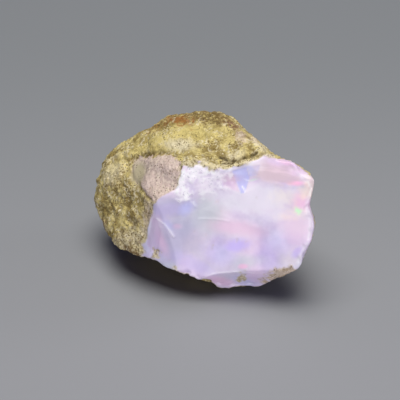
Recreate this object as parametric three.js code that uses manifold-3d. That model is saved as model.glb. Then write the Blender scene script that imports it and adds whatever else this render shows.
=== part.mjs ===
// Rough opal: a broken nodule of milky precious opal that keeps most of its yellow-brown rind.
// It formed as one piece, so it is one solid: a lumpy nodule, opened by a big glassy break in
// front, a smaller one at the back right, and a small flat break underneath that it rests on.
// Millimetres, +Z up, +X along the stone. The origin is the middle of the box's bottom.
import * as THREE from "three";
import Module from "manifold-3d";
import { ImprovedNoise } from "three/addons/math/ImprovedNoise.js";
import { mergeVertices } from "three/addons/utils/BufferGeometryUtils.js";

const wasm = await Module();
wasm.setup();

// Driving dimensions, from a point in the middle of the stone
const LOOK_DOWN = THREE.MathUtils.degToRad(35);
const EYE_DISTANCE = 208;
const FLOOR_DEPTH = 9.9;
const SKEW = 0.45;
const NODULE_DETAIL = 21;
const FLAKE_CELL = 1.1;
const BLOCK_SIDE = 36;
const BLOCK_DEPTH = 40;
const RIND_COLOUR = 0xb29a5e;

// The stone is laid out square to an eye that looks down on it from in front, and then set askew:
// each place comes nearer to the eye by SKEW for every millimetre that it is to the right.
const ASKEW = new THREE.Matrix4().makeBasis(
  new THREE.Vector3(1, -SKEW * Math.cos(LOOK_DOWN), SKEW * Math.sin(LOOK_DOWN)),
  new THREE.Vector3(0, 1, 0),
  new THREE.Vector3(0, 0, 1),
);

// A point named by where it shows to the eye: how far to the right, how far up across the line of
// sight, and how far out towards the eye before the stone is set askew.
function seen(across, rise, front) {
  const sin = Math.sin(LOOK_DOWN);
  const cos = Math.cos(LOOK_DOWN);
  const near = 1 - (front + SKEW * across) / EYE_DISTANCE;
  const up = rise * near;
  return new THREE.Vector3(across * near, up * sin - front * cos, up * cos + front * sin);
}

// A point on the hidden side, by its plain place before the stone is set askew.
function hidden(x, y, z) {
  return new THREE.Vector3(x, y, z);
}

// The breaks. Each is a face with flake scars: shallow bowls that meet in ridges. A scar's place
// is across and up its face, and its sink, lean and hollow say how deep it lies there, how much
// it rises to the right and upwards, and how fast it rises away from its middle. Its ripple is
// the height of the rings that spread over it from where it was struck.
const FRONT_BREAK = {
  at: seen(3.9, -1.9, 4.0),
  facing: new THREE.Vector3(0.294, -0.905, 0.309),
  struck: [-13.5, -6.0],
  scars: [
    { name: "main", at: [2.0, 1.0], sink: 0.0, lean: [0, 0], hollow: 0.004, ripple: 0.03 },
    { name: "lower", at: [-0.1, -0.9], sink: 0.0, lean: [0.03, 0.07], hollow: 0.004, ripple: 0.03 },
    { name: "upper band", at: [5.5, 3.2], sink: 0.0, lean: [-0.04, -0.24], hollow: 0.01, ripple: 0 },
    { name: "blue flake", at: [1.9, 5.0], sink: 0.4, lean: [0, 0], hollow: 0.075, ripple: 0 },
    { name: "left bevel", at: [-10.6, -1.0], sink: 0.5, lean: [0.8, 0], hollow: 0.02, ripple: 0 },
    { name: "lower left", at: [-9.8, 0.9], sink: 0.0, lean: [0.24, 0.17], hollow: 0.01, ripple: 0 },
    { name: "lip", at: [-1.0, -7.0], sink: 0.0, lean: [0.07, 0.85], hollow: 0.015, ripple: 0 },
    { name: "right lug", at: [9.7, 2.2], sink: 0.0, lean: [-0.5, 0], hollow: 0.06, ripple: 0 },
  ],
};
const BACK_BREAK = {
  at: hidden(8.5, 6.7, 0.2),
  facing: new THREE.Vector3(0.5, 0.84, 0.22),
  struck: [5.0, 6.0],
  scars: [
    { name: "main", at: [-0.5, 0.5], sink: 0.2, lean: [0, 0], hollow: 0.02, ripple: 0.04 },
    { name: "left", at: [-4.5, 1.0], sink: 0.1, lean: [0.3, -0.1], hollow: 0.03, ripple: 0 },
    { name: "lower", at: [1.0, -3.5], sink: 0.2, lean: [0.1, 0.4], hollow: 0.03, ripple: 0.03 },
  ],
};
const RIPPLE_LENGTH = 4.2;

// The three directions of a break's face: across it, up it and out of it.
function faceAxes({ facing }) {
  const out = facing.clone().normalize();
  const across = new THREE.Vector3(0, 0, 1).cross(out).normalize();
  return [across, out.clone().cross(across), out];
}

// How high one flake scar stands over its break's face at a place on it.
function scarHeight({ at, sink, lean, hollow, ripple }, struck, x, y) {
  const dx = x - at[0];
  const dy = y - at[1];
  const rings = (2 * Math.PI * Math.hypot(x - struck[0], y - struck[1])) / RIPPLE_LENGTH;
  const bowl = lean[0] * dx + lean[1] * dy + hollow * (dx * dx + dy * dy) - sink;
  return bowl + ripple * Math.sin(rings);
}

// The point of the front break that shows at a place, found by walking along the line of sight.
function onBreak(across, rise) {
  const [right, up, out] = faceAxes(FRONT_BREAK);
  let front = 4;
  for (let step = 0; step < 12; step++) {
    const offset = seen(across, rise, front).sub(FRONT_BREAK.at);
    const x = offset.dot(right);
    const y = offset.dot(up);
    const heights = FRONT_BREAK.scars.map((scar) => scarHeight(scar, FRONT_BREAK.struck, x, y));
    front -= 0.8 * (offset.dot(out) - Math.min(...heights));
  }
  return seen(across, rise, front);
}

// Points that the nodule's skin passes through: first the outline that the rind shows
const LEFT_END = [
  seen(-9.9, 7.3, -0.8),
  seen(-10.9, 6.6, -0.7),
  seen(-12.0, 5.5, -0.6),
  seen(-12.7, 4.0, -0.5),
  seen(-13.3, 2.2, -0.5),
  seen(-13.5, 0.4, -0.4),
  seen(-13.3, -1.3, 0.0),
  seen(-12.7, -2.7, 0.8),
  seen(-11.5, -4.6, 1.8),
  seen(-10.6, -5.9, 2.6),
  seen(-9.3, -6.5, 3.6),
  seen(-8.0, -6.9, 4.6),
];
const TOP_RIDGE = [
  seen(-8.0, 8.3, -1.0),
  seen(-6.3, 9.1, -1.2),
  seen(-5.4, 9.9, -1.4),
  seen(-4.4, 10.5, -1.5),
  seen(-2.5, 10.7, -1.5),
  seen(-1.4, 11.1, -1.6),
  seen(1.1, 11.0, -1.5),
  seen(2.9, 10.6, -1.4),
  seen(3.9, 9.7, -0.8),
  seen(4.9, 8.5, 0.5),
  seen(5.7, 7.6, 1.6),
  seen(6.9, 6.5, 3.2),
  seen(8.2, 5.8, 4.0),
  seen(9.5, 5.4, 4.1),
];

// Then the edges of the front break, where the skin meets it
const RIGHT_EDGE = [
  onBreak(10.6, 4.8),
  onBreak(11.7, 3.8),
  onBreak(12.4, 3.0),
  onBreak(13.3, 2.7),
  onBreak(13.8, 2.0),
  onBreak(13.6, 1.0),
  onBreak(13.2, -0.3),
  onBreak(13.1, -1.5),
  onBreak(13.6, -2.5),
  onBreak(13.6, -4.0),
  onBreak(13.3, -5.3),
  onBreak(12.4, -6.6),
  onBreak(12.2, -8.0),
];
const LOWER_EDGE = [
  onBreak(11.2, -8.9),
  onBreak(9.6, -9.6),
  onBreak(8.2, -10.2),
  onBreak(6.0, -10.8),
  onBreak(4.5, -10.7),
  onBreak(2.6, -11.0),
  onBreak(1.4, -10.6),
  onBreak(0.2, -10.1),
  onBreak(-0.9, -9.9),
  onBreak(-2.2, -9.3),
  onBreak(-3.8, -8.7),
  onBreak(-5.4, -8.0),
  onBreak(-6.9, -7.2),
];
const RIND_RIM = [
  onBreak(-7.4, -5.8),
  onBreak(-7.0, -3.8),
  onBreak(-6.4, -2.0),
  onBreak(-6.0, -0.4),
  onBreak(-4.6, 0.5),
  onBreak(-3.4, 1.1),
  onBreak(-2.7, 2.6),
  onBreak(-2.4, 4.4),
  onBreak(-1.1, 4.9),
  onBreak(0.4, 4.4),
  onBreak(1.9, 3.9),
  onBreak(3.7, 4.1),
  onBreak(5.7, 4.6),
  onBreak(7.5, 5.4),
  onBreak(9.2, 5.1),
];

// Then the rind's front and top, the part that broke off, and the hidden sides
const RIND_FLANK = [
  seen(-10.5, 1.3, 4.0),
  seen(-9.4, 4.0, 3.4),
  seen(-9.9, -2.5, 4.2),
  seen(-8.9, -4.8, 4.6),
  seen(-7.5, 6.3, 3.2),
  seen(-1.2, 8.2, 3.3),
  seen(3.6, 7.7, 2.5),
];
const BROKEN_AWAY = [
  seen(3.9, -1.9, 8.4),
  seen(-1.0, -5.0, 8.4),
  seen(8.0, 0.0, 6.4),
  seen(8.0, -5.0, 4.4),
  seen(2.0, 1.5, 9.0),
  seen(-3.0, -2.0, 9.4),
];
const BACK = [
  hidden(-11.5, 3.2, -1.5),
  hidden(-9.0, 6.2, 1.5),
  hidden(-5.0, 8.8, 1.5),
  hidden(0.0, 10.0, 1.0),
  hidden(4.5, 9.8, 0.3),
  hidden(9.3, 7.8, -0.4),
  hidden(11.8, 3.0, -1.6),
  hidden(10.0, 3.0, 2.8),
];
const UNDERSIDE = [
  seen(-9.4, -5.8, 1.6),
  seen(-8.0, -6.2, 2.6),
  seen(-6.2, -6.9, 3.2),
  seen(-4.2, -7.8, 2.4),
  seen(-2.0, -8.7, 1.4),
  seen(0.6, -9.5, 0.4),
  hidden(-8.5, 3.6, -5.2),
  hidden(-3.0, 7.0, -6.5),
  hidden(3.0, 8.2, -7.8),
  hidden(9.0, 6.0, -6.6),
  hidden(-8.5, 0.0, -6.6),
  hidden(-5.8, 0.2, -9.0),
  hidden(-3.4, 0.4, -10.2),
  hidden(-1.0, -2.0, -10.6),
  hidden(2.0, -2.6, -11.0),
  hidden(5.8, -2.0, -10.4),
  hidden(1.5, 0.6, -11.3),
  hidden(1.5, 3.2, -10.8),
  hidden(6.0, 2.0, -10.4),
  hidden(9.6, -0.4, -8.2),
  hidden(-4.0, 3.6, -9.4),
];

// Lumps and pits of the rind, each where it shows, its radius and how far it stands out
const LUMPS = [
  { name: "mauve knob", at: seen(-5.9, 3.0, 6.6), radius: 2.7, height: 0.75 },
  { name: "nest", at: seen(4.1, 5.4, 4.9), radius: 1.5, height: 0.5 },
  { name: "upper flank", at: seen(-11.0, 2.6, 3.0), radius: 1.5, height: 0.4 },
  { name: "lower flank", at: seen(-9.7, -3.0, 4.6), radius: 1.8, height: 0.45 },
  { name: "heel", at: seen(-10.6, -5.0, 3.2), radius: 1.2, height: 0.3 },
  { name: "crest", at: seen(-3.2, 8.6, 2.0), radius: 1.6, height: 0.35 },
  { name: "saddle", at: seen(1.5, 6.8, 4.0), radius: 1.5, height: 0.3 },
];
const PITS = [
  { name: "ledge foot left", at: seen(-8.0, 5.0, 4.4), radius: 1.2, height: -0.4 },
  { name: "ledge foot right", at: seen(-5.9, 5.6, 4.6), radius: 1.1, height: -0.3 },
  { name: "smooth hollow", at: seen(-8.3, 3.0, 5.2), radius: 1.3, height: -0.4 },
  { name: "flank hollow", at: seen(-10.9, 0.2, 4.0), radius: 1.2, height: -0.45 },
  { name: "rim hollow", at: seen(-8.8, -0.2, 5.4), radius: 1.2, height: -0.3 },
  { name: "left end", at: seen(-12.3, -1.2, 2.0), radius: 0.9, height: -0.35 },
  { name: "orange notch", at: seen(-3.1, 10.2, -0.6), radius: 0.9, height: -0.4 },
  { name: "top hollow", at: seen(-0.6, 7.6, 3.4), radius: 1.3, height: -0.35 },
  { name: "right of crest", at: seen(3.2, 8.4, 2.0), radius: 1.2, height: -0.3 },
];
const SKIN_NOISE = [
  { wavelength: 4.2, height: 0.45 },
  { wavelength: 2.0, height: 0.38 },
];

const noise = new ImprovedNoise();

// Solves a small square set of linear equations by elimination.
function solve(rows, values) {
  const size = values.length;
  const table = rows.map((row, i) => [...row, values[i]]);
  for (let i = 0; i < size; i++) {
    let pivot = i;
    for (let k = i + 1; k < size; k++) {
      if (Math.abs(table[k][i]) > Math.abs(table[pivot][i])) pivot = k;
    }
    [table[i], table[pivot]] = [table[pivot], table[i]];
    for (let k = i + 1; k < size; k++) {
      const share = table[k][i] / table[i][i];
      for (let j = i; j <= size; j++) table[k][j] -= share * table[i][j];
    }
  }
  const found = new Array(size).fill(0);
  for (let i = size - 1; i >= 0; i--) {
    let sum = table[i][size];
    for (let j = i + 1; j < size; j++) sum -= table[i][j] * found[j];
    found[i] = sum / table[i][i];
  }
  return found;
}

// A function that gives the skin's radius in any direction, smooth between the landmarks. The
// relief is taken off first, so that the finished skin passes through them.
function skinThrough(landmarks) {
  const softness = 0.12;
  const directions = landmarks.map((point) => point.clone().normalize());
  const pull = (a, b) => Math.sqrt(a.distanceToSquared(b) + softness * softness);
  const rows = directions.map((a) => [...directions.map((b) => pull(a, b)), 1]);
  rows.push([...directions.map(() => 1), 0]);
  const radii = landmarks.map((point) => point.length() - skinRelief(point));
  const weights = solve(rows, [...radii, 0]);
  const level = weights[directions.length];
  return (direction) =>
    directions.reduce((sum, d, i) => sum + weights[i] * pull(direction, d), level);
}

// How far the rind's lumps, pits and bumps stand out at a point of the skin.
function skinRelief(point) {
  const reach = point.length();
  const direction = point.clone().normalize();
  let relief = 0;
  for (const { at, radius, height } of [...LUMPS, ...PITS]) {
    const away = reach * direction.distanceTo(at.clone().normalize());
    relief += height * Math.exp(-((away / radius) ** 4));
  }
  for (const { wavelength, height } of SKIN_NOISE) {
    const p = point.clone().divideScalar(wavelength);
    relief += height * noise.noise(p.x, p.y, p.z);
  }
  return relief;
}

// A closed solid, set askew, from a geometry whose shared corners are merged.
function askewSolid(geometry) {
  geometry.applyMatrix4(ASKEW);
  return solidFrom(geometry);
}

// A closed solid from a geometry whose shared corners are merged.
function solidFrom(geometry) {
  geometry.deleteAttribute("normal");
  geometry.deleteAttribute("uv");
  const merged = mergeVertices(geometry, 1e-4);
  return new wasm.Manifold(
    new wasm.Mesh({
      numProp: 3,
      vertProperties: merged.attributes.position.array,
      triVerts: new Uint32Array(merged.index.array),
    }),
  );
}

// The whole nodule, as it was before it broke.
function nodule() {
  const radiusAt = skinThrough([
    ...LEFT_END,
    ...TOP_RIDGE,
    ...RIGHT_EDGE,
    ...LOWER_EDGE,
    ...RIND_RIM,
    ...RIND_FLANK,
    ...BROKEN_AWAY,
    ...BACK,
    ...UNDERSIDE,
  ]);
  const geometry = new THREE.IcosahedronGeometry(1, NODULE_DETAIL);
  const position = geometry.attributes.position;
  const direction = new THREE.Vector3();
  for (let i = 0; i < position.count; i++) {
    direction.fromBufferAttribute(position, i).normalize();
    const point = direction.clone().multiplyScalar(radiusAt(direction));
    point.addScaledVector(direction, skinRelief(point));
    position.setXYZ(i, point.x, point.y, point.z);
  }
  return askewSolid(geometry);
}

// The stone behind one flake scar: a deep block whose top is the scar.
function blockBehind(face, scar) {
  const cells = Math.round(BLOCK_SIDE / FLAKE_CELL);
  const geometry = new THREE.BoxGeometry(BLOCK_SIDE, BLOCK_SIDE, BLOCK_DEPTH, cells, cells, 1);
  geometry.translate(0, 0, -BLOCK_DEPTH / 2);
  const position = geometry.attributes.position;
  for (let i = 0; i < position.count; i++) {
    if (position.getZ(i) < -BLOCK_DEPTH / 2) continue;
    position.setZ(i, scarHeight(scar, face.struck, position.getX(i), position.getY(i)));
  }
  geometry.applyMatrix4(new THREE.Matrix4().makeBasis(...faceAxes(face)).setPosition(face.at));
  return askewSolid(geometry);
}

// Everything above the flat break that the stone rests on.
function blockAboveFloor() {
  const geometry = new THREE.BoxGeometry(2 * BLOCK_SIDE, 2 * BLOCK_SIDE, BLOCK_DEPTH);
  geometry.translate(0, 0, BLOCK_DEPTH / 2 - FLOOR_DEPTH);
  return solidFrom(geometry);
}

// A solid's geometry, moved so that its box stands on the origin.
function geometryOf(solid) {
  const mesh = solid.getMesh();
  const geometry = new THREE.BufferGeometry();
  geometry.setAttribute("position", new THREE.BufferAttribute(mesh.vertProperties, 3));
  geometry.setIndex(new THREE.BufferAttribute(mesh.triVerts, 1));
  geometry.computeBoundingBox();
  const { min, max } = geometry.boundingBox;
  geometry.translate(-(min.x + max.x) / 2, -(min.y + max.y) / 2, -min.z);
  geometry.computeVertexNormals();
  return geometry;
}

// The nodule less what broke off it.
function brokenStone() {
  let stone = nodule().intersect(blockAboveFloor());
  for (const face of [FRONT_BREAK, BACK_BREAK]) {
    for (const scar of face.scars) stone = stone.intersect(blockBehind(face, scar));
  }
  return stone;
}

const roughOpal = new THREE.Mesh(
  geometryOf(brokenStone()),
  new THREE.MeshStandardMaterial({ color: RIND_COLOUR, roughness: 0.8, metalness: 0 }),
);
roughOpal.name = "rough_opal";

const specimen = new THREE.Group();
specimen.add(roughOpal);

export default specimen;
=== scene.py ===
"""A rough opal specimen: a broken nodule of milky opal that keeps its yellow-brown rind.

The stone is a fine skin made from the frame's solid. Its masks say where the skin is broken opal,
rind, bruise, chip or stain; its relief is pressed in by those masks, and one finish reads them.
Lengths in this file are millimetres until the finished skin is brought to metres.
"""

import logging
import math
from dataclasses import dataclass, field
from enum import Enum

import bpy
import numpy as np
from mathutils import Matrix, Vector
from mathutils.bvhtree import BVHTree

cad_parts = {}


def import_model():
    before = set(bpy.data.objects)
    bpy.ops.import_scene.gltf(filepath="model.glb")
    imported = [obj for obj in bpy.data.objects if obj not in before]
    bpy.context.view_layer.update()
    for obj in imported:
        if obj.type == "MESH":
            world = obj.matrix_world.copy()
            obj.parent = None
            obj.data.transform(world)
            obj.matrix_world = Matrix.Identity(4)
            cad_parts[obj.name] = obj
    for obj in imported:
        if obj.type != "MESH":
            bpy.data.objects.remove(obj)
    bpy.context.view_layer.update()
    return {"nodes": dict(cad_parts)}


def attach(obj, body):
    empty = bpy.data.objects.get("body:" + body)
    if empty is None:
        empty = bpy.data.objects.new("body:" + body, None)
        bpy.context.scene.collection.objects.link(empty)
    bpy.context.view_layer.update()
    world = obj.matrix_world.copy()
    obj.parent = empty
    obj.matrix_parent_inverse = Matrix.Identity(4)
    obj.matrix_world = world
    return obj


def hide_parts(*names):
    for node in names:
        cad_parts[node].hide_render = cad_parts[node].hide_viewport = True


MM = 0.001
LOG = logging.getLogger("rough_opal")
Colour = tuple[float, float, float]
Socket = bpy.types.NodeSocket


class Mask(Enum):
    """The named parts of the stone's surface, each a number from 0 to 1 at every point."""

    RIND = "rind"
    BRUISE = "bruise"
    MINT = "mint"
    BLUE = "blue"
    PINK = "pink"
    GREEN = "green"
    YELLOW = "yellow"
    LILAC = "lilac"
    MAUVE = "mauve"
    GEL = "gel"
    CREAM = "cream"
    SULPHUR = "sulphur"
    ORANGE = "orange"
    RUST = "rust"
    BROWN = "brown"
    DARK = "groove_shade"
    SCRATCH_AND_HIGHLIGHT = "scratch_and_highlight"
    PALE_AND_PAINTED_LIGHT = "pale_and_painted_light"
    VIOLET = "violet"
    SHELL = "shell"
    BARE = "bare"
    STREAK = "streak"
    PAINTED_SHADE = "painted_shade"


def smoothstep(low: float, high: float, value: np.ndarray) -> np.ndarray:
    """A soft step.

    Args:
        low: Where the step starts, at 0.
        high: Where it ends, at 1. It may be below low, for a step down.
        value: The numbers to step.

    Returns:
        Numbers from 0 to 1.
    """
    share = np.clip((value - low) / (high - low), 0.0, 1.0)
    return share * share * (3.0 - 2.0 * share)


class Lattice:
    """A random field on a grid of cells that is the same at every run."""

    def __init__(self, seed: int) -> None:
        """Draws the grid's slopes and seeds.

        Args:
            seed: Picks one field out of many.
        """
        draw = np.random.default_rng(seed)
        self.table = np.tile(draw.permutation(256), 3)
        slopes = draw.normal(size=(256, 3))
        self.slopes = slopes / np.linalg.norm(slopes, axis=1)[:, None]
        self.seeds = draw.random((256, 3))

    def _pick(self, cell: np.ndarray) -> np.ndarray:
        """The table's entry for each cell, a number from 0 to 255."""
        x, y, z = (cell % 256).astype(int).T
        return self.table[self.table[self.table[x] + y] + z]

    def waves(self, points: np.ndarray, length: float) -> np.ndarray:
        """Smooth bumps.

        Args:
            points: Places in millimetres.
            length: About the length of a bump, in millimetres.

        Returns:
            Heights from about -1 to 1.
        """
        scaled = points / length
        cell = np.floor(scaled)
        inside = scaled - cell
        ease = inside * inside * inside * (inside * (inside * 6 - 15) + 10)
        total = np.zeros(len(points))
        for corner in np.ndindex(2, 2, 2):
            step = np.array(corner)
            slope = self.slopes[self._pick(cell + step)]
            rise = np.einsum("ij,ij->i", slope, inside - step)
            share = np.prod(np.where(step == 1, ease, 1 - ease), axis=1)
            total += rise * share
        return total * 1.6

    def grains(self, points: np.ndarray, length: float) -> tuple[np.ndarray, np.ndarray]:
        """Packed grains.

        Args:
            points: Places in millimetres.
            length: About the size of a grain, in millimetres.

        Returns:
            The distance to the nearest grain's middle and to the second nearest, in grain sizes.
        """
        scaled = points / length
        cell = np.floor(scaled)
        first = np.full(len(points), 9.0)
        second = np.full(len(points), 9.0)
        for corner in np.ndindex(3, 3, 3):
            near = cell + np.array(corner) - 1
            away = np.linalg.norm(near + self.seeds[self._pick(near)] - scaled, axis=1)
            second = np.minimum(second, np.maximum(first, away))
            first = np.minimum(first, away)
        return first, second


@dataclass(frozen=True)
class Bumps:
    """Smooth bumps of a height and a length, both in millimetres."""

    height: float
    length: float

    def on(self, lattice: Lattice, points: np.ndarray) -> np.ndarray:
        """The bumps' height at each point."""
        return self.height * lattice.waves(points, self.length)


@dataclass(frozen=True)
class Edge:
    """An uneven soft edge: where it starts, where it ends and how much it wobbles."""

    start: float
    end: float
    wobble: float

    def share(self, value: np.ndarray, wobble: np.ndarray) -> np.ndarray:
        """The share from 0 to 1 past the edge."""
        return smoothstep(self.start, self.end, value + self.wobble * wobble)


@dataclass(frozen=True)
class Sight:
    """The line of sight that places things where they show, and that the camera looks along."""

    look_down: float = 35.0
    skew: float = 0.45
    centre: tuple[float, float, float] = (0.309, -1.167, 9.9)
    distance: float = 208.33
    lens: float = 150.0
    film: float = 36.0
    aim_left: float = 0.5

    def axes(self) -> tuple[np.ndarray, np.ndarray, np.ndarray]:
        """The directions to the right, up across the sight and towards the eye."""
        sin, cos = math.sin(math.radians(self.look_down)), math.cos(math.radians(self.look_down))
        return np.array([1.0, 0, 0]), np.array([0, sin, cos]), np.array([0, -cos, sin])

    def eye(self) -> np.ndarray:
        """Where the eye is."""
        return np.array(self.centre) + self.axes()[2] * self.distance

    def picture(self, points: np.ndarray) -> np.ndarray:
        """Finds where points show to the eye.

        Args:
            points: Places in millimetres.

        Returns:
            How far right, up and towards the eye each shows from the centre.
        """
        right, up, near = self.axes()
        offset = points - np.array(self.centre)
        front = offset @ near
        scale = self.distance / (self.distance - front)
        return np.stack([offset @ right * scale, offset @ up * scale, front], axis=1)

    def laid_out(self, points: np.ndarray) -> np.ndarray:
        """Where points lie from the centre before the stone is set askew to the sight."""
        offset = points - np.array(self.centre)
        return offset - self.skew * offset[:, :1] * self.axes()[2]

    def hit(self, skin: BVHTree, across: float, rise: float) -> np.ndarray:
        """The point of a skin that shows at a place.

        Args:
            skin: The skin to look at.
            across: How far right of the centre, in millimetres.
            rise: How far up across the sight, in millimetres.

        Returns:
            The point, or one on the plane through the centre where the sight misses the skin.
        """
        right, up, _ = self.axes()
        goal = np.array(self.centre) + right * across + up * rise
        eye = self.eye()
        found = skin.ray_cast(Vector(eye), Vector(goal - eye).normalized())[0]
        return np.array(found) if found else goal


@dataclass(frozen=True)
class Scar:
    """One flake scar of a break: a shallow bowl over the break's face."""

    at: tuple[float, float]
    sink: float
    lean: tuple[float, float]
    hollow: float
    ripple: float = 0.0


@dataclass(frozen=True)
class Break:
    """A broken face: its place, the way it faces, where it was struck and its flake scars."""

    at: tuple[float, float, float]
    facing: tuple[float, float, float]
    struck: tuple[float, float]
    scars: tuple[Scar, ...]
    ripple_length: float = 4.2

    def local(self, points: np.ndarray) -> np.ndarray:
        """Turns points of the layout to the face's own directions.

        Args:
            points: Places in the layout, in millimetres from the stone's centre.

        Returns:
            How far each lies across, up and out of the face.
        """
        out = np.array(self.facing) / np.linalg.norm(self.facing)
        across = np.cross([0.0, 0.0, 1.0], out)
        across /= np.linalg.norm(across)
        return (points - np.array(self.at)) @ np.stack([across, np.cross(out, across), out]).T

    def depth(self, points: np.ndarray) -> np.ndarray:
        """Measures points against the broken surface.

        Args:
            points: Places in the layout, in millimetres from the stone's centre.

        Returns:
            How far each lies under the broken surface, 0 on it.
        """
        x, y, out = self.local(points).T
        rings = 2 * math.pi * np.hypot(x - self.struck[0], y - self.struck[1]) / self.ripple_length
        heights = []
        for scar in self.scars:
            dx, dy = x - scar.at[0], y - scar.at[1]
            bowl = scar.lean[0] * dx + scar.lean[1] * dy + scar.hollow * (dx * dx + dy * dy)
            heights.append(bowl - scar.sink + scar.ripple * np.sin(rings))
        return np.min(heights, axis=0) - out


@dataclass(frozen=True)
class Spot:
    """A patch of a mask, where it shows, with its half sizes and the turn of its long side."""

    mask: Mask
    across: float
    rise: float
    long: float
    short: float
    turn: float = 0.0
    strength: float = 1.0
    edge: float = 0.5
    wobble: float = 0.15

    def share(self, away: np.ndarray, wobble: np.ndarray) -> np.ndarray:
        """The spot's share at points that lie away from its middle, 1 on its outline."""
        uneven = away + self.wobble * wobble
        return self.strength * smoothstep(1.0 + self.edge, 1.0 - self.edge, uneven)


@dataclass(frozen=True)
class Line:
    """A groove or rib along a line of places where it shows."""

    places: tuple[tuple[float, float], ...]
    width: float
    height: float
    mask: Mask | None = None
    strength: float = 1.0
    worn: float = 0.0


@dataclass(frozen=True)
class Facet:
    """A small flat-edged flake, by its corners where it shows, anticlockwise."""

    corners: tuple[tuple[float, float], ...]
    mask: Mask
    strength: float
    depth: float = 0.0
    worn: float = 0.0
    # How far behind or before its middle the flake ends, and how soft its rim is
    reach: tuple[float, float] = (5.5, 4.5)
    rim: tuple[float, float] = (-0.07, 0.12)

    def share(self, shown: np.ndarray, middle: float, wobble: np.ndarray) -> np.ndarray:
        """The flake's share at each point.

        Args:
            shown: Where the points show, and how far they are towards the eye.
            middle: How far the flake is towards the eye.
            wobble: A random field that wears the flake's edges.

        Returns:
            Shares from 0 outside it to 1 inside.
        """
        inside = np.full(len(shown), 9.0)
        for a, b in zip(self.corners, self.corners[1:] + self.corners[:1]):
            du, dv = b[0] - a[0], b[1] - a[1]
            away = ((shown[:, 1] - a[1]) * du - (shown[:, 0] - a[0]) * dv) / math.hypot(du, dv)
            inside = np.minimum(inside, away + self.worn * wobble)
        near = smoothstep(*self.reach, np.abs(shown[:, 2] - middle))
        return smoothstep(*self.rim, inside) * near


@dataclass(frozen=True)
class Relief:
    """The fine relief that is pressed into the skin, in millimetres."""

    # Bumps of the rind, from coarse to fine, then those of the bruise and of the broken opal
    lumps: Bumps = Bumps(0.16, 1.5)
    nubs: Bumps = Bumps(0.10, 0.8)
    crumbs: Bumps = Bumps(0.10, 0.5)
    dust: Bumps = Bumps(0.05, 0.3)
    bruise: Bumps = Bumps(0.07, 0.55)
    bruise_lift: float = 0.03
    swell: Bumps = Bumps(0.012, 2.4)
    # Packed grains, and the gaps between them, which open in patches
    grain_size: float = 0.58
    grain_height: float = 0.05
    grain_dome: tuple[float, float] = (0.6, 0.1)
    grain_warp: Bumps = Bumps(0.25, 0.7)
    warp_shifts: tuple[float, float, float] = (3.0, 13.0, 23.0)
    gap_width: float = 0.28
    gap_depth: float = 0.10
    gap_brown: float = 0.45
    gap_patch: float = 2.8
    gap_patch_shift: float = 9.0
    gap_patch_edge: tuple[float, float] = (-0.2, 0.5)
    # How much the smoother kinds of rind lose of all that
    gel_calm: float = 0.95
    mauve_calm: float = 0.5
    sulphur_calm: float = 0.6
    # Small round pits
    pit_count: int = 700
    pit_depth: float = 0.16
    pit_radius: tuple[float, float] = (0.12, 0.26)
    pit_share: tuple[float, float] = (0.5, 1.0)
    # The heights over the floor between which the relief fades in, to keep the foot flat
    foot: tuple[float, float] = (0.02, 0.4)
    # The depths between which a hollow turns brown, and how much less on mauve rind
    hollow: tuple[float, float] = (-0.10, -0.28)
    hollow_brown: float = 0.8
    hollow_mauve: float = 0.6


@dataclass(frozen=True)
class Patches:
    """Soft patches of a noise: their length in millimetres and the limits between which they rise."""

    length: float
    low: float
    high: float
    detail: float = 2.0
    rough: float = 0.5
    start: float = 0.0
    end: float = 1.0


@dataclass(frozen=True)
class Dots:
    """Small dots: how far apart in millimetres, where they start and are full, and how high."""

    length: float
    outer: float
    inner: float
    height: float = 1.0


@dataclass(frozen=True)
class Grain:
    """A grain of the bump: its length in millimetres, its detail and how high it stands."""

    length: float
    detail: float
    rough: float
    height: float


@dataclass(frozen=True)
class OpalFinish:
    """The broken opal: milky, glossy, with a soft play of colour."""

    pearl: Colour = (0.71, 0.60, 0.72)
    haze: Colour = (0.57, 0.50, 0.65)
    # Pale opal, also used as painted light in the flake's shaded hollow
    pale_and_painted_light: Colour = (0.755, 0.725, 0.785)
    mint: Colour = (0.53, 0.58, 0.59)
    blue: Colour = (0.45, 0.47, 0.80)
    violet: Colour = (0.56, 0.46, 0.84)
    # Painted shade: a bluish darkening of the face's left and lower parts
    painted_shade: Colour = (0.41, 0.39, 0.53)
    pink: Colour = (0.85, 0.47, 0.66)
    green: Colour = (0.45, 0.95, 0.48)
    yellow: Colour = (0.95, 0.82, 0.62)
    lilac: Colour = (0.50, 0.38, 0.55)
    shell: Colour = (0.76, 0.62, 0.56)
    streak: Colour = (0.55, 0.43, 0.48)
    bruise: Colour = (0.90, 0.88, 0.89)
    smudge: Colour = (0.44, 0.42, 0.50)
    # The white of scratches and of painted highlights
    scratch_and_highlight: Colour = (1.0, 0.99, 1.0)
    # The pearl ground, soft cells of fire, mottling, faint bands and the bruise's smudges
    ground: Patches = Patches(5.0, 0.38, 0.62, 1.0)
    fire_length: float = 2.4
    fire_share: float = 0.22
    mottle: Patches = Patches(1.3, 0.30, 0.70, 4.0, 0.6)
    mottle_share: float = 0.16
    bands: Patches = Patches(1.0, 0.38, 0.62)
    band_stretch: tuple[float, float, float] = (0.3, 0.3, 1.5)
    smudges: Patches = Patches(0.4, 0.45, 0.33, 3.0, 0.75, 0.0, 0.75)
    # The gloss, the bump, and the light that scatters under the surface, in millimetres
    roughness: Patches = Patches(1.6, 0.3, 0.7, start=0.37, end=0.50)
    bruise_roughness: float = 0.6
    grain: Grain = Grain(0.9, 1.0, 0.5, 0.06)
    bruise_grain: Grain = Grain(0.22, 3.0, 0.7, 0.5)
    ior: float = 1.45
    glow: float = 0.25
    glow_spread: Colour = (1.0, 0.8, 1.0)
    glow_depth: float = 1.2


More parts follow.
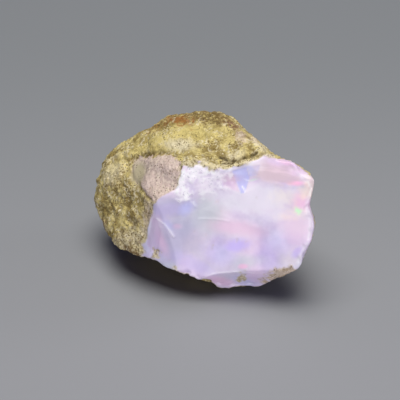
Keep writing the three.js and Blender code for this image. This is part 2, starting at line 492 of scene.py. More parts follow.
@dataclass(frozen=True)
class RindFinish:
    """The rind: dull, granular, yellow-brown, with stains."""

    tan: Colour = (0.265, 0.20, 0.06)
    straw: Colour = (0.56, 0.465, 0.18)
    cream: Colour = (0.68, 0.61, 0.41)
    sulphur: Colour = (0.60, 0.50, 0.18)
    mauve: Colour = (0.56, 0.44, 0.39)
    crystal: Colour = (0.68, 0.57, 0.48)
    gel: Colour = (0.42, 0.37, 0.24)
    orange: Colour = (0.26, 0.095, 0.012)
    rust: Colour = (0.17, 0.065, 0.045)
    brown: Colour = (0.14, 0.092, 0.022)
    # Dark specks, and painted shade in grooves
    speck_and_shade: Colour = (0.05, 0.033, 0.012)
    # Tan to straw, then how thick salt and pepper lie on rough and on smooth rind
    ground: Patches = Patches(1.2, 0.40, 0.60, 3.0, 0.6)
    peppering: tuple[float, float] = (0.95, 0.45)
    # Pale grains: their size, how many are pale, how strong they are and where they lie
    salt_size: float = 0.24
    salt_limits: tuple[float, float] = (0.52, 0.72)
    salt_share: float = 0.8
    salted: Patches = Patches(1.5, 0.42, 0.60)
    crystal_limits: tuple[float, float] = (0.48, 0.58)
    crystal_share: float = 0.6
    # How patchy the stains are, and the least share of orange inside its stain
    stained: Patches = Patches(0.45, 0.44, 0.54, 3.0, 0.75, 0.15)
    spill: float = 0.75
    # Brown pepper and where it lies, brown seams, dark specks and where they lie
    pepper: Patches = Patches(0.22, 0.50, 0.38, 2.0, 0.6)
    peppered: Patches = Patches(1.8, 0.56, 0.40, 3.0, 0.6, 0.15)
    seams: Patches = Patches(0.6, 0.56, 0.68, 4.0, 0.75, 0.0, 0.5)
    specks: Dots = Dots(0.3, 0.34, 0.18)
    specked: Patches = Patches(1.4, 0.47, 0.56, 3.0)
    speck_share: float = 0.8
    # The dullness, and the bump
    roughness: float = 0.85
    gel_roughness: float = 0.4
    grain: Grain = Grain(0.28, 3.0, 0.7, 0.9)
    dimples: Dots = Dots(0.42, 0.30, 0.10, 0.5)


class Sketch:
    """Draws the nodes of one material."""

    def __init__(self, name: str) -> None:
        """Starts an empty material.

        Args:
            name: The material's name.
        """
        self.material = bpy.data.materials.new(name)
        self.material.use_nodes = True
        self.tree = self.material.node_tree
        self.tree.nodes.clear()

    def node(self, kind: str, **settings: object) -> bpy.types.Node:
        """Adds a node.

        Args:
            kind: The node's type.
            settings: Its properties by name.

        Returns:
            The new node.
        """
        made = self.tree.nodes.new(kind)
        for name, value in settings.items():
            setattr(made, name, value)
        return made

    def feed(self, socket: Socket, value: object) -> None:
        """Links a socket to another, or sets it to a plain value.

        Args:
            socket: The input to feed.
            value: An output to link, or a number or colour.
        """
        if isinstance(value, Socket):
            self.tree.links.new(value, socket)
        elif isinstance(value, tuple) and len(value) == 3 and socket.type == "RGBA":
            socket.default_value = (*value, 1.0)
        else:
            socket.default_value = value

    def mask(self, mask: Mask) -> Socket:
        """A mask of the skin as a number."""
        return self.node("ShaderNodeAttribute", attribute_name=mask.value).outputs["Fac"]

    def places(self) -> Socket:
        """Reads the place on the object.

        Returns:
            The place in millimetres.
        """
        at = self.node("ShaderNodeTexCoord").outputs["Object"]
        scaled = self.node("ShaderNodeVectorMath", operation="SCALE")
        self.feed(scaled.inputs[0], at)
        scaled.inputs["Scale"].default_value = 1.0 / MM
        return scaled.outputs[0]

    def stretched(self, at: Socket, factors: tuple[float, float, float]) -> Socket:
        """Scales places along each direction, to draw out what is read from them.

        Args:
            at: The places.
            factors: The scale along each direction. Below 1 draws out.

        Returns:
            The scaled places.
        """
        made = self.node("ShaderNodeVectorMath", operation="MULTIPLY")
        self.feed(made.inputs[0], at)
        made.inputs[1].default_value = factors
        return made.outputs[0]

    def noise(self, at: Socket, length: float, detail: float = 2.0, rough: float = 0.5) -> Socket:
        """Smooth noise.

        Args:
            at: The places.
            length: About the length of a bump, in millimetres.
            detail: How many finer layers it has.
            rough: How strong the finer layers are.

        Returns:
            The noise, from 0 to 1.
        """
        made = self.node("ShaderNodeTexNoise")
        self.feed(made.inputs["Vector"], at)
        made.inputs["Scale"].default_value = 1.0 / length
        made.inputs["Detail"].default_value = detail
        made.inputs["Roughness"].default_value = rough
        return made.outputs["Fac"]

    def cells(self, at: Socket, length: float, output: str = "Distance",
              feature: str = "F1") -> Socket:
        """Cells around scattered points.

        Args:
            at: The places.
            length: About the size of a cell, in millimetres.
            output: What is read: the distance to the cell's middle, or its random colour.
            feature: How a cell's edge is made.

        Returns:
            The output that is read.
        """
        made = self.node("ShaderNodeTexVoronoi", feature=feature)
        self.feed(made.inputs["Vector"], at)
        made.inputs["Scale"].default_value = 1.0 / length
        return made.outputs[output]

    def ramp(self, value: Socket, low: float, high: float, start: float = 0.0,
             end: float = 1.0) -> Socket:
        """Steps a value softly.

        Args:
            value: The value to step.
            low: Where the step starts.
            high: Where it ends. It may be below low.
            start: What it gives at low.
            end: What it gives at high.

        Returns:
            The stepped value.
        """
        made = self.node("ShaderNodeMapRange", interpolation_type="SMOOTHSTEP")
        for socket, number in zip(made.inputs[:5], (value, low, high, start, end)):
            self.feed(socket, number)
        return made.outputs[0]

    def math(self, operation: str, a: object, b: object = 0.0) -> Socket:
        """Works out one sum of two values.

        Args:
            operation: The sum's name.
            a: Its first value, a socket or a number.
            b: Its second.

        Returns:
            The result.
        """
        made = self.node("ShaderNodeMath", operation=operation)
        self.feed(made.inputs[0], a)
        self.feed(made.inputs[1], b)
        return made.outputs[0]

    def blend(self, share: object, a: object, b: object, way: str = "MIX") -> Socket:
        """Blends two colours.

        Args:
            share: How much of b, from 0 to 1.
            a: The colour underneath.
            b: The colour on top.
            way: How they blend.

        Returns:
            The blended colour.
        """
        made = self.node("ShaderNodeMix", data_type="RGBA", blend_type=way)
        self.feed(made.inputs["Factor"], share)
        self.feed(made.inputs[6], a)
        self.feed(made.inputs[7], b)
        return made.outputs[2]

    def slide(self, share: object, a: object, b: object) -> Socket:
        """Slides from one number to another.

        Args:
            share: How far, from 0 at a to 1 at b.
            a: The first number.
            b: The last.

        Returns:
            The number between them.
        """
        made = self.node("ShaderNodeMix", data_type="FLOAT")
        self.feed(made.inputs["Factor"], share)
        self.feed(made.inputs[2], a)
        self.feed(made.inputs[3], b)
        return made.outputs[0]

    def patches(self, at: Socket, kind: Patches) -> Socket:
        """The share of soft patches at each place."""
        noise = self.noise(at, kind.length, kind.detail, kind.rough)
        return self.ramp(noise, kind.low, kind.high, kind.start, kind.end)

    def dots(self, at: Socket, kind: Dots) -> Socket:
        """The share of small dots at each place."""
        return self.ramp(self.cells(at, kind.length), kind.outer, kind.inner, 0.0, kind.height)

    def grain(self, at: Socket, kind: Grain) -> Socket:
        """The height of a grain at each place."""
        return self.math("MULTIPLY", self.noise(at, kind.length, kind.detail, kind.rough), kind.height)


@dataclass
class StoneFinish:
    """The finish of the whole stone: opal where it is broken and rind elsewhere."""

    opal: OpalFinish = OpalFinish()
    rind: RindFinish = RindFinish()
    bump_strength: float = 0.5
    bump_height: float = 0.12

    def _opal_colour(self, s: Sketch, at: Socket) -> Socket:
        """Draws the opal's colour: a pearl ground, soft cells of fire, named patches with painted
        shade and painted light among them, the bruise, then white scratches and painted highlights.

        Args:
            s: The material to draw in.
            at: The places on the stone.

        Returns:
            The colour.
        """
        o = self.opal
        colour = s.blend(s.patches(at, o.ground), o.pearl, o.haze)
        fire = s.cells(at, o.fire_length, "Color", "SMOOTH_F1")
        colour = s.blend(o.fire_share, colour, fire, "SOFT_LIGHT")
        colour = s.blend(o.mottle_share, colour, s.patches(at, o.mottle), "SOFT_LIGHT")
        # Named patches of colour, with painted shade and a painted lift of light among them
        for mask, tint in (
            (Mask.PALE_AND_PAINTED_LIGHT, o.pale_and_painted_light), (Mask.MINT, o.mint), (Mask.PAINTED_SHADE, o.painted_shade), (Mask.VIOLET, o.violet),
            (Mask.BLUE, o.blue), (Mask.PINK, o.pink), (Mask.YELLOW, o.yellow),
            (Mask.GREEN, o.green), (Mask.LILAC, o.lilac), (Mask.SHELL, o.shell),
        ):
            colour = s.blend(s.mask(mask), colour, tint)
        band = s.patches(s.stretched(at, o.band_stretch), o.bands)
        colour = s.blend(s.math("MULTIPLY", band, s.mask(Mask.STREAK)), colour, o.streak)
        crumb = s.blend(s.patches(at, o.smudges), o.bruise, o.smudge)
        colour = s.blend(s.mask(Mask.BRUISE), colour, crumb)
        # White scratches, and painted highlights on edges and ridges
        return s.blend(s.mask(Mask.SCRATCH_AND_HIGHLIGHT), colour, o.scratch_and_highlight)

    def _rind_colour(self, s: Sketch, at: Socket) -> Socket:
        """Draws the rind's colour: tan to straw, stains, cream grains, specks and painted shade along
        grooves.

        Args:
            s: The material to draw in.
            at: The places on the stone.

        Returns:
            The colour.
        """
        r = self.rind
        colour = s.blend(s.patches(at, r.ground), r.tan, r.straw)
        for mask, tint in (
            (Mask.SULPHUR, r.sulphur), (Mask.CREAM, r.cream), (Mask.MAUVE, r.mauve),
        ):
            colour = s.blend(s.mask(mask), colour, tint)
        smooth = s.math("MAXIMUM", s.mask(Mask.SULPHUR), s.mask(Mask.MAUVE))
        sparse = s.slide(smooth, *r.peppering)
        cells = s.cells(at, r.salt_size, "Color")
        salt = s.math("MULTIPLY", s.ramp(cells, *r.salt_limits), s.patches(at, r.salted))
        salt = s.math("MULTIPLY", salt, s.math("MULTIPLY", sparse, r.salt_share))
        colour = s.blend(salt, colour, r.cream)
        crystals = s.math("MULTIPLY", s.ramp(cells, *r.crystal_limits), s.mask(Mask.MAUVE))
        colour = s.blend(s.math("MULTIPLY", crystals, r.crystal_share), colour, r.crystal)
        stained = s.patches(at, r.stained)
        for mask, tint in ((Mask.RUST, r.rust), (Mask.BROWN, r.brown)):
            colour = s.blend(s.math("MULTIPLY", stained, s.mask(mask)), colour, tint)
        spill = s.math("MULTIPLY", s.math("MAXIMUM", stained, r.spill), s.mask(Mask.ORANGE))
        colour = s.blend(spill, colour, r.orange)
        pepper = s.math("MULTIPLY", s.patches(at, r.pepper), s.patches(at, r.peppered))
        colour = s.blend(s.math("MULTIPLY", pepper, sparse), colour, r.brown)
        colour = s.blend(s.patches(at, r.seams), colour, r.brown)
        colour = s.blend(s.mask(Mask.GEL), colour, r.gel)
        # Dark specks, and painted shade along the grooves
        specks = s.math("MULTIPLY", s.dots(at, r.specks), s.patches(at, r.specked))
        hollow = s.math("MAXIMUM", s.math("MULTIPLY", specks, r.speck_share), s.mask(Mask.DARK))
        return s.blend(hollow, colour, r.speck_and_shade)

    def _height(self, s: Sketch, at: Socket) -> Socket:
        """Draws the height of the grain that is too fine for the skin's points.

        Args:
            s: The material to draw in.
            at: The places on the stone.

        Returns:
            The height, for the bump.
        """
        smooth, crumbly = s.grain(at, self.opal.grain), s.grain(at, self.opal.bruise_grain)
        opal = s.slide(s.mask(Mask.BRUISE), smooth, crumbly)
        rind = s.math("SUBTRACT", s.grain(at, self.rind.grain), s.dots(at, self.rind.dimples))
        return s.slide(s.mask(Mask.RIND), opal, rind)

    def material(self) -> bpy.types.Material:
        """Draws the stone's material.

        Returns:
            The material.
        """
        s = Sketch("stone")
        at = s.places()
        rind = s.mask(Mask.RIND)
        shader = s.node("ShaderNodeBsdfPrincipled")
        colour = s.blend(rind, self._opal_colour(s, at), self._rind_colour(s, at))
        s.feed(shader.inputs["Base Color"], colour)
        gloss = s.patches(at, self.opal.roughness)
        gloss = s.slide(s.mask(Mask.BRUISE), gloss, self.opal.bruise_roughness)
        dull = s.slide(s.mask(Mask.GEL), self.rind.roughness, self.rind.gel_roughness)
        s.feed(shader.inputs["Roughness"], s.slide(rind, gloss, dull))
        shader.inputs["IOR"].default_value = self.opal.ior
        s.feed(shader.inputs["Subsurface Weight"], s.slide(rind, self.opal.glow, 0.0))
        shader.inputs["Subsurface Radius"].default_value = self.opal.glow_spread
        shader.inputs["Subsurface Scale"].default_value = self.opal.glow_depth * MM
        bump = s.node("ShaderNodeBump")
        bump.inputs["Strength"].default_value = self.bump_strength
        bump.inputs["Distance"].default_value = self.bump_height * MM
        s.feed(bump.inputs["Height"], self._height(s, at))
        s.feed(shader.inputs["Normal"], bump.outputs[0])
        out = s.node("ShaderNodeOutputMaterial")
        s.feed(out.inputs["Surface"], shader.outputs[0])
        return s.material


@dataclass
class Stone:
    """The stone's fine skin: its breaks, marks and relief, and the masks that say what is where."""

    sight: Sight
    front: Break
    back: Break
    spots: tuple[Spot, ...]
    lines: tuple[Line, ...]
    facets: tuple[Facet, ...]
    relief: Relief = Relief()
    voxel: float = 0.152
    weld: float = 0.0005
    seed: int = 11
    # The random field that makes edges uneven
    wobble: tuple[Bumps, Bumps] = (Bumps(1.0, 0.9), Bumps(0.9, 0.4))
    wobble_shift: float = 40.0
    # Where the rind begins under a break, where it is rubbed off, its pale rim and its brown underside
    rind_edge: Edge = Edge(0.05, 0.2, 0.07)
    bare_edge: Edge = Edge(0.65, 0.45, 0.2)
    rim_edge: Edge = Edge(0.9, 0.2, 0.5)
    rim_cream: float = 0.6
    under_edge: Edge = Edge(-0.2, -0.75, 0.1)
    under_brown: float = 0.9
    # How far a spot reaches along the sight, and the worn gaps in a line
    spot_reach: tuple[float, float] = (2.0, 0.6)
    line_gaps: tuple[float, float] = (-0.2, 0.3)
    line_gap_length: float = 0.9
    masks: dict[Mask, np.ndarray] = field(default_factory=dict)

    def start(self, solid: bpy.types.Object) -> bpy.types.Object:
        """Copies the frame's solid and makes one even skin of it.

        Args:
            solid: The frame's solid, which isn't changed.

        Returns:
            The new piece, in millimetres.
        """
        bpy.ops.object.select_all(action="DESELECT")
        piece = bpy.data.objects.new("stone", solid.data.copy())
        bpy.context.scene.collection.objects.link(piece)
        piece.data.materials.clear()
        piece.data.transform(Matrix.Scale(1.0 / MM, 4))
        piece.select_set(True)
        bpy.context.view_layer.objects.active = piece
        bpy.ops.object.mode_set(mode="EDIT")
        bpy.ops.mesh.select_all(action="SELECT")
        bpy.ops.mesh.remove_doubles(threshold=self.weld)
        bpy.ops.object.mode_set(mode="OBJECT")
        bpy.ops.object.modifier_add(type="REMESH")
        remesh = piece.modifiers[-1]
        remesh.mode = "VOXEL"
        remesh.voxel_size = self.voxel
        remesh.adaptivity = 0.0
        bpy.ops.object.modifier_apply(modifier=remesh.name)
        return piece

    @staticmethod
    def points(piece: bpy.types.Object) -> np.ndarray:
        """Reads the places of a piece's points.

        Args:
            piece: The piece to read.

        Returns:
            One row a point.
        """
        found = np.empty(len(piece.data.vertices) * 3, np.float32)
        piece.data.vertices.foreach_get("co", found)
        return found.reshape(-1, 3).astype(float)

    @staticmethod
    def normals(piece: bpy.types.Object) -> np.ndarray:
        """Reads the ways a piece's points face.

        Args:
            piece: The piece to read.

        Returns:
            One row a point, of length 1.
        """
        found = np.empty(len(piece.data.vertices) * 3, np.float32)
        piece.data.vertices.foreach_get("normal", found)
        return found.reshape(-1, 3).astype(float)

    def _spot(self, spot: Spot, skin: BVHTree, shown: np.ndarray, wobble: np.ndarray) -> np.ndarray:
        """Lays a spot on the skin.

        Args:
            spot: The spot.
            skin: The skin, to find the spot's middle.
            shown: Where the points show, and how far they are towards the eye.
            wobble: The random field that makes edges uneven.

        Returns:
            Its share at each point.
        """
        middle = self.sight.picture(self.sight.hit(skin, spot.across, spot.rise)[None])[0]
        turn = math.radians(spot.turn)
        du, dv, dw = (shown - middle).T
        along = du * math.cos(turn) + dv * math.sin(turn)
        aside = dv * math.cos(turn) - du * math.sin(turn)
        reach = self.spot_reach[0] * spot.long + self.spot_reach[1]
        away = np.sqrt((along / spot.long) ** 2 + (aside / spot.short) ** 2 + (dw / reach) ** 2)
        return spot.share(away, wobble)

    def _line(self, line: Line, skin: BVHTree, points: np.ndarray) -> np.ndarray:
        """Lays a line on the skin.

        Args:
            line: The line.
            skin: The skin, to find the line's places.
            points: The skin's points.

        Returns:
            Its share at each point, 1 along its middle.
        """
        places = [self.sight.hit(skin, *place) for place in line.places]
        share = np.zeros(len(points))
        for a, b in zip(places, places[1:]):
            along = b - a
            t = np.clip((points - a) @ along / (along @ along), 0.0, 1.0)
            away = np.linalg.norm(points - a - t[:, None] * along, axis=1)
            share = np.maximum(share, np.exp(-((away / line.width) ** 2)))
        gaps = smoothstep(*self.line_gaps, Lattice(self.seed).waves(points, self.line_gap_length))
        return share * (1.0 - line.worn * gaps)

    def _facet(self, facet: Facet, skin: BVHTree, points: np.ndarray) -> np.ndarray:
        """Lays a small flake on the skin.

        Args:
            facet: The flake.
            skin: The skin, to find how far the flake is towards the eye.
            points: The skin's points.

        Returns:
            Its share at each point.
        """
        middle = np.mean(facet.corners, axis=0)
        near = self.sight.picture(self.sight.hit(skin, *middle)[None])[0, 2]
        return facet.share(self.sight.picture(points), near, self._wobble(points))

    def _wobble(self, points: np.ndarray) -> np.ndarray:
        """The random field that makes edges uneven."""
        noise, (wide, narrow) = Lattice(self.seed), self.wobble
        return wide.on(noise, points) + narrow.on(noise, points + self.wobble_shift)

    def read_masks(self, piece: bpy.types.Object) -> None:
        """Works out every mask on the piece's points.

        Args:
            piece: The skin, in millimetres, before its relief is pressed in.
        """
        points = self.points(piece)
        skin = BVHTree.FromObject(piece, bpy.context.evaluated_depsgraph_get())
        shown = self.sight.picture(points)
        wobble = self._wobble(points)
        layout = self.sight.laid_out(points)
        under = np.minimum(self.front.depth(layout), self.back.depth(layout))
        upward = self.normals(piece)[:, 2]
        self.masks = {mask: np.zeros(len(points)) for mask in Mask}
        self.masks[Mask.RIND] = self.rind_edge.share(under, wobble)
        self.masks[Mask.CREAM] = self.rim_cream * self.rim_edge.share(under, wobble)
        self.masks[Mask.BROWN] = self.under_brown * self.under_edge.share(upward, wobble)
        for spot in self.spots:
            self._mark(spot.mask, self._spot(spot, skin, shown, wobble))
        for line in self.lines:
            if line.mask:
                self._mark(line.mask, line.strength * self._line(line, skin, points))
        for facet in self.facets:
            self._mark(facet.mask, facet.strength * self._facet(facet, skin, points))
        self.masks[Mask.RIND] *= self.bare_edge.share(self.masks[Mask.BARE], wobble)

    def _mark(self, mask: Mask, share: np.ndarray) -> None:
        """Raises a mask to a share wherever it is lower."""
        self.masks[mask] = np.maximum(self.masks[mask], share)

    def press(self, piece: bpy.types.Object) -> None:
        """Presses the relief into the skin: lumps, grains, pits, grooves and ribs.

        Args:
            piece: The skin, in millimetres, with its masks worked out.
        """
        r = self.relief
        points, normals = self.points(piece), self.normals(piece)
        skin = BVHTree.FromObject(piece, bpy.context.evaluated_depsgraph_get())
        rind, bruise, mauve = (self.masks[name] for name in (Mask.RIND, Mask.BRUISE, Mask.MAUVE))
        noise, other = Lattice(self.seed + 1), Lattice(self.seed + 2)
        patchy = smoothstep(*r.gap_patch_edge, other.waves(points + r.gap_patch_shift, r.gap_patch))
        warp = np.stack([r.grain_warp.on(noise, points + shift) for shift in r.warp_shifts], axis=1)
        first, second = noise.grains(points + warp, r.grain_size)
        gaps = smoothstep(r.gap_width, 0.0, second - first) * patchy * rind
        grains = r.grain_height * rind * smoothstep(*r.grain_dome, first) - r.gap_depth * gaps
        lumps = r.lumps.on(noise, points) + r.nubs.on(other, points)
        fine = r.crumbs.on(other, points) + r.dust.on(noise, points)
        calm = (1.0 - r.gel_calm * self.masks[Mask.GEL]) * (1.0 - r.mauve_calm * mauve)
        calm *= 1.0 - r.sulphur_calm * self.masks[Mask.SULPHUR]
        height = rind * calm * (lumps + grains + fine)
        height += (1.0 - rind) * bruise * (r.bruise.on(other, points) + r.bruise_lift)
        height += (1.0 - rind) * r.swell.on(noise, points)
        height -= r.pit_depth * self._pits(points, rind * calm)
        # The gaps between grains turn brown
        self._mark(Mask.BROWN, r.gap_brown * gaps * calm)
        for line in self.lines:
            height += line.height * self._line(line, skin, points)
        for facet in self.facets:
            height -= facet.depth * self._facet(facet, skin, points)
        height *= smoothstep(*r.foot, points[:, 2])
        moved = points + normals * height[:, None]
        moved[:, 2] = np.maximum(moved[:, 2], 0.0)
        piece.data.vertices.foreach_set("co", moved.astype(np.float32).ravel())
        piece.data.update()
        # The rind's deepest hollows turn brown
        hollow = smoothstep(*r.hollow, height) * rind * (1.0 - r.hollow_mauve * mauve)
        self._mark(Mask.BROWN, r.hollow_brown * hollow)

    def _pits(self, points: np.ndarray, room: np.ndarray) -> np.ndarray:
        """Small round pits scattered over the rind.

        Args:
            points: The skin's points.
            room: How much each point may be pitted.

        Returns:
            The depth of the pits at each point, from 0 to 1.
        """
        draw = np.random.default_rng(self.seed)
        depth = np.zeros(len(points))
        for middle in points[draw.integers(0, len(points), self.relief.pit_count)]:
            radius = draw.uniform(*self.relief.pit_radius)
            away = np.linalg.norm(points - middle, axis=1)
            near = np.exp(-((away / radius) ** 2)) * draw.uniform(*self.relief.pit_share)
            depth = np.maximum(depth, near)
        return depth * room

    def finish(self, piece: bpy.types.Object, finish: StoneFinish) -> None:
        """Stores the masks, brings the piece to metres and dresses it.

        Args:
            piece: The skin, in millimetres, with its relief pressed in.
            finish: What it is dressed in.
        """
        for mask, values in self.masks.items():
            held = piece.data.attributes.new(mask.value, "FLOAT", "POINT")
            held.data.foreach_set("value", values.astype(np.float32))
        piece.data.transform(Matrix.Scale(MM, 4))
        piece.data.materials.append(finish.material())
        bpy.ops.object.shade_smooth()


@dataclass(frozen=True)
class Lamp:
    """A soft oblong light: its place and size in millimetres, its power in watts and its colour."""

    name: str
    place: tuple[float, float, float]
    size: tuple[float, float]
    power: float
    colour: Colour


@dataclass
class Studio:
    """The floor, the lights, the sky and the camera."""

    sight: Sight
    lamps: tuple[Lamp, ...]
    floor_colour: Colour = (0.234, 0.241, 0.257)
    # Darker towards the back: a painted falloff of light
    floor_far_shade: Colour = (0.178, 0.190, 0.199)
    floor_fade: tuple[float, float] = (-30.0, 60.0)
    floor_roughness: float = 0.75
    floor_half: float = 1200.0
    sky_colour: Colour = (0.40, 0.39, 1.0)
    sky_strength: float = 0.13
    clip_start: float = 1.0

    def floor(self) -> bpy.types.Object:
        """Lays a floor under the stone, its colour darker towards the back as a painted falloff of
        light.

        Returns:
            The floor.
        """
        bpy.ops.object.select_all(action="DESELECT")
        bpy.ops.mesh.primitive_plane_add(size=2 * self.floor_half * MM)
        made = bpy.context.active_object
        made.name = "floor"
        s = Sketch("floor_paper")
        shader = s.node("ShaderNodeBsdfPrincipled")
        place = s.node("ShaderNodeSeparateXYZ")
        s.feed(place.inputs[0], s.places())
        # Painted falloff of light: the floor's colour darkens towards the back
        far = s.ramp(place.outputs["Y"], *self.floor_fade)
        s.feed(shader.inputs["Base Color"], s.blend(far, self.floor_colour, self.floor_far_shade))
        shader.inputs["Roughness"].default_value = self.floor_roughness
        out = s.node("ShaderNodeOutputMaterial")
        s.feed(out.inputs["Surface"], shader.outputs[0])
        made.data.materials.append(s.material)
        return made

    def _light(self, lamp: Lamp) -> None:
        """Sets up a light that looks at the stone.

        Args:
            lamp: The light.
        """
        bpy.ops.object.light_add(type="AREA", location=Vector(lamp.place) * MM)
        made = bpy.context.active_object
        made.name = lamp.name
        made.data.shape = "RECTANGLE"
        made.data.size, made.data.size_y = lamp.size[0] * MM, lamp.size[1] * MM
        made.data.energy = lamp.power
        made.data.color = lamp.colour
        aim = Vector(self.sight.centre) - Vector(lamp.place)
        made.rotation_euler = aim.to_track_quat("-Z", "Y").to_euler()

    def lights(self) -> None:
        """Sets up the lights and an even sky."""
        for lamp in self.lamps:
            self._light(lamp)
        world = bpy.data.worlds.new("studio")
        bpy.context.scene.world = world
        world.use_nodes = True
        back = world.node_tree.nodes["Background"]
        back.inputs["Color"].default_value = (*self.sky_colour, 1.0)
        back.inputs["Strength"].default_value = self.sky_strength

    def camera(self) -> None:
        """Puts the camera on the line of sight."""
        eye = self.sight.eye() - self.sight.axes()[0] * self.sight.aim_left
        bpy.ops.object.camera_add(location=Vector(eye) * MM)
        made = bpy.context.active_object
        made.name = "camera"
        made.rotation_euler = (math.radians(90.0 - self.sight.look_down), 0.0, 0.0)
        made.data.lens = self.sight.lens
        made.data.sensor_width = self.sight.film
        made.data.clip_start = self.clip_start * MM
        bpy.context.scene.camera = made
        bpy.context.scene.view_settings.view_transform = "Standard"


# The breaks as the solid's layout has them
FRONT = Break(
    at=(3.792, -4.336, 0.781),
    facing=(0.294, -0.905, 0.309),
    struck=(-13.5, -6.0),
    scars=(
        Scar((2.0, 1.0), 0.0, (0.0, 0.0), 0.004, 0.03),
        Scar((-0.1, -0.9), 0.0, (0.03, 0.07), 0.004, 0.03),
        Scar((5.5, 3.2), 0.0, (-0.04, -0.24), 0.01),
        Scar((1.9, 5.0), 0.4, (0.0, 0.0), 0.075),
        Scar((-10.6, -1.0), 0.5, (0.8, 0.0), 0.02),
        Scar((-9.8, 0.9), 0.0, (0.24, 0.17), 0.01),
        Scar((-1.0, -7.0), 0.0, (0.07, 0.85), 0.015),
        Scar((9.7, 2.2), 0.0, (-0.5, 0.0), 0.06),
    ),
)
BACK = Break(
    at=(8.5, 6.7, 0.2),
    facing=(0.5, 0.84, 0.22),
    struck=(5.0, 6.0),
    scars=(
        Scar((-0.5, 0.5), 0.2, (0.0, 0.0), 0.02, 0.04),
        Scar((-4.5, 1.0), 0.1, (0.3, -0.1), 0.03),
        Scar((1.0, -3.5), 0.2, (0.1, 0.4), 0.03, 0.03),
    ),
)
